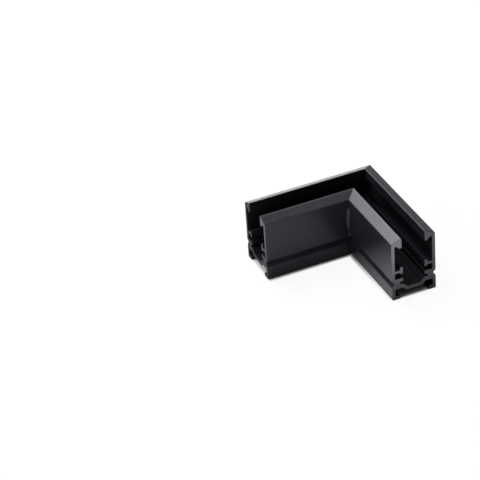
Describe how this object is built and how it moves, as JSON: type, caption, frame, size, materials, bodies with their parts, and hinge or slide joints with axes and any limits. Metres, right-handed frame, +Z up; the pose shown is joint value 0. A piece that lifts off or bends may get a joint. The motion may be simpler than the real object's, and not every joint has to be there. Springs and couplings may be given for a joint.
{
  "type": "track light corner connector",
  "caption": "Right-angle corner for slim lighting track: mitred black aluminium channel arms with hooked lips, inner ribs, a trough floor and toed feet.",
  "frame": {"origin": "on the surface that the feet stand on, under the middle of the square that the two arms span", "axes": "+Z up out of the lamp channel; the left arm's open end faces -X, the right arm's open end faces -Y, and the outer corner is at +X +Y"},
  "size_m": [0.076, 0.076, 0.038],
  "materials": {
    "black_coat": "satin black coat on extruded aluminium"
  },
  "bodies": {
    "root": {"left_arm": "black_coat", "right_arm": "black_coat"}
  },
  "joints": []
}
